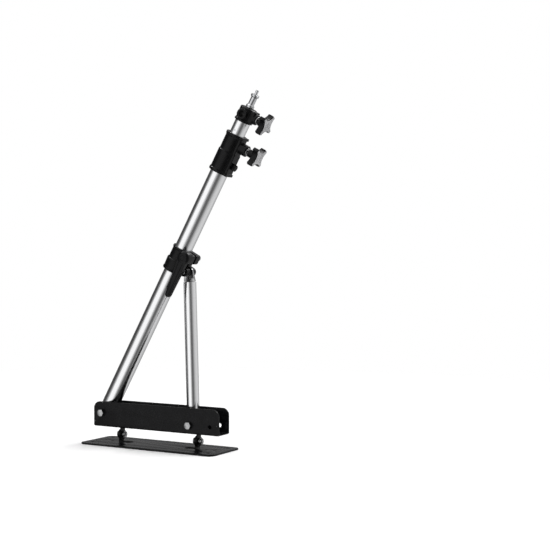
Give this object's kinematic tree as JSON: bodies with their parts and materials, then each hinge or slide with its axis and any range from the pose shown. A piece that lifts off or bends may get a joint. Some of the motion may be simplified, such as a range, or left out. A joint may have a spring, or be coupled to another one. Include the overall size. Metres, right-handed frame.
{
  "type": "triangle wall boom arm",
  "caption": "Wall-mounted studio light boom: hinged wall plate, U channel, telescopic tube arm with locking collar and spigot head, braced by a tube strut on a sliding clamp.",
  "frame": {"origin": "centre of the wall plate's back face, which lies against the wall", "axes": "+Z points away from the wall, +X runs along the plate from the arm's foot towards the strut's foot, +Y across the plate"},
  "size_m": [0.4054, 0.113, 0.6901],
  "materials": {
    "black_powder_coat": "semi-gloss powder coat",
    "satin_aluminium": "satin anodised",
    "black_plastic": "satin moulded",
    "grey_cap": "satin moulded",
    "zinc_steel": "bright zinc",
    "chrome_steel": "polished",
    "dark_nylon": "matte"
  },
  "bodies": {
    "base": {"wall_plate": "black_powder_coat", "hinge_bolt_left": "zinc_steel", "hinge_bolt_right": "zinc_steel", "hinge_nut_left": "zinc_steel", "hinge_nut_right": "zinc_steel"},
    "channel_frame": {"channel": "black_powder_coat", "arm_pivot_bolt": "zinc_steel", "arm_pivot_nut": "zinc_steel", "support_pivot_bolt": "zinc_steel", "support_pivot_nut": "zinc_steel", "arm_spacer_near": "dark_nylon", "arm_spacer_far": "dark_nylon", "support_spacer_near": "dark_nylon", "support_spacer_far": "dark_nylon"},
    "arm": {"arm_outer_tube": "satin_aluminium", "arm_foot_plug": "black_plastic", "arm_foot_rivet": "zinc_steel", "collar": "black_plastic", "collar_bush": "dark_nylon", "collar_fixing_bolt": "black_plastic", "collar_insert": "zinc_steel"},
    "slide_guide": {"tube_guide": "dark_nylon"},
    "mast": {"arm_inner_tube": "satin_aluminium", "head_casting": "black_plastic", "head_rivet": "zinc_steel", "head_insert": "zinc_steel", "spigot": "chrome_steel"},
    "collar_pad": {"collar_pad": "dark_nylon"},
    "collar_knob": {"collar_screw": "zinc_steel", "collar_knob_grip": "black_plastic", "collar_knob_cap": "grey_cap"},
    "head_pad": {"head_pad": "dark_nylon"},
    "head_knob": {"head_screw": "zinc_steel", "head_knob_grip": "black_plastic", "head_knob_cap": "grey_cap"},
    "clamp": {"clamp_body": "black_plastic", "clamp_nut": "zinc_steel", "fork_pin": "zinc_steel", "fork_nut": "zinc_steel"},
    "lever_insert": {"clamp_bolt": "zinc_steel", "lever_screw": "zinc_steel"},
    "lever": {"clamp_lever": "black_plastic", "lever_cap": "black_plastic"},
    "strut": {"support_tube": "satin_aluminium", "support_foot_plug": "black_plastic", "support_foot_rivet": "zinc_steel", "support_tongue": "zinc_steel", "support_top_plug": "dark_nylon", "support_top_rivet": "zinc_steel"}
  },
  "joints": [
    {"name": "channel_swing", "type": "hinge", "parent": "base", "child": "channel_frame", "pos_m": [0, 0, 0.018], "axis": [1, 0, 0], "range_deg": [-60, 60]},
    {"name": "arm_tilt", "type": "hinge", "parent": "channel_frame", "child": "arm", "pos_m": [-0.12495, 0, 0.0611], "axis": [0, -1, 0], "range_deg": [-12, 12]},
    {"name": "strut_tilt", "type": "hinge", "parent": "channel_frame", "child": "strut", "pos_m": [0.081, 0, 0.0498], "axis": [0, -1, 0], "range_deg": [-17, 17]},
    {"name": "clamp_slide", "type": "slide", "parent": "arm", "child": "clamp", "axis": [0.4818, 0, 0.8763], "range_m": [-0.052, 0.052]},
    {"name": "arm_extend", "type": "slide", "parent": "arm", "child": "slide_guide", "axis": [0.4818, 0, 0.8763], "range_m": [0, 0.48]},
    {"name": "arm_twist", "type": "hinge", "parent": "slide_guide", "child": "mast", "pos_m": [-0.09605, 0, 0.11368], "axis": [0.4818, 0, 0.8763], "continuous": true},
    {"name": "collar_pad_travel", "type": "slide", "parent": "arm", "child": "collar_pad", "axis": [0.8763, 0, -0.4818], "range_m": [0, 0.0025]},
    {"name": "collar_knob_turn", "type": "hinge", "parent": "collar_pad", "child": "collar_knob", "pos_m": [0.16699, 0, 0.59214], "axis": [0.8763, 0, -0.4818], "range_deg": [0, 725]},
    {"name": "head_pad_travel", "type": "slide", "parent": "mast", "child": "head_pad", "axis": [0.8763, 0, -0.4818], "range_m": [-0.0025, 0.00125]},
    {"name": "head_knob_turn", "type": "hinge", "parent": "head_pad", "child": "head_knob", "pos_m": [0.19614, 0, 0.64516], "axis": [0.8763, 0, -0.4818], "range_deg": [-725, 365]},
    {"name": "lever_turn", "type": "hinge", "parent": "clamp", "child": "lever_insert", "pos_m": [0.07711, 0, 0.37467], "axis": [0, -1, 0], "range_deg": [0, 360]},
    {"name": "lever_lift", "type": "slide", "parent": "lever_insert", "child": "lever", "axis": [0, -1, 0], "range_m": [0, 0.004], "stiffness_N_per_m": 400, "springref_m": -0.004}
  ],
  "couplings": [
    {"joint": "strut_tilt", "follows": "arm_tilt", "ratio": 1.35},
    {"joint": "clamp_slide", "follows": "arm_tilt", "m_per_rad": -0.2375},
    {"joint": "collar_knob_turn", "follows": "collar_pad_travel", "rad_per_m": 5026.5},
    {"joint": "head_knob_turn", "follows": "head_pad_travel", "rad_per_m": 5026.5}
  ]
}
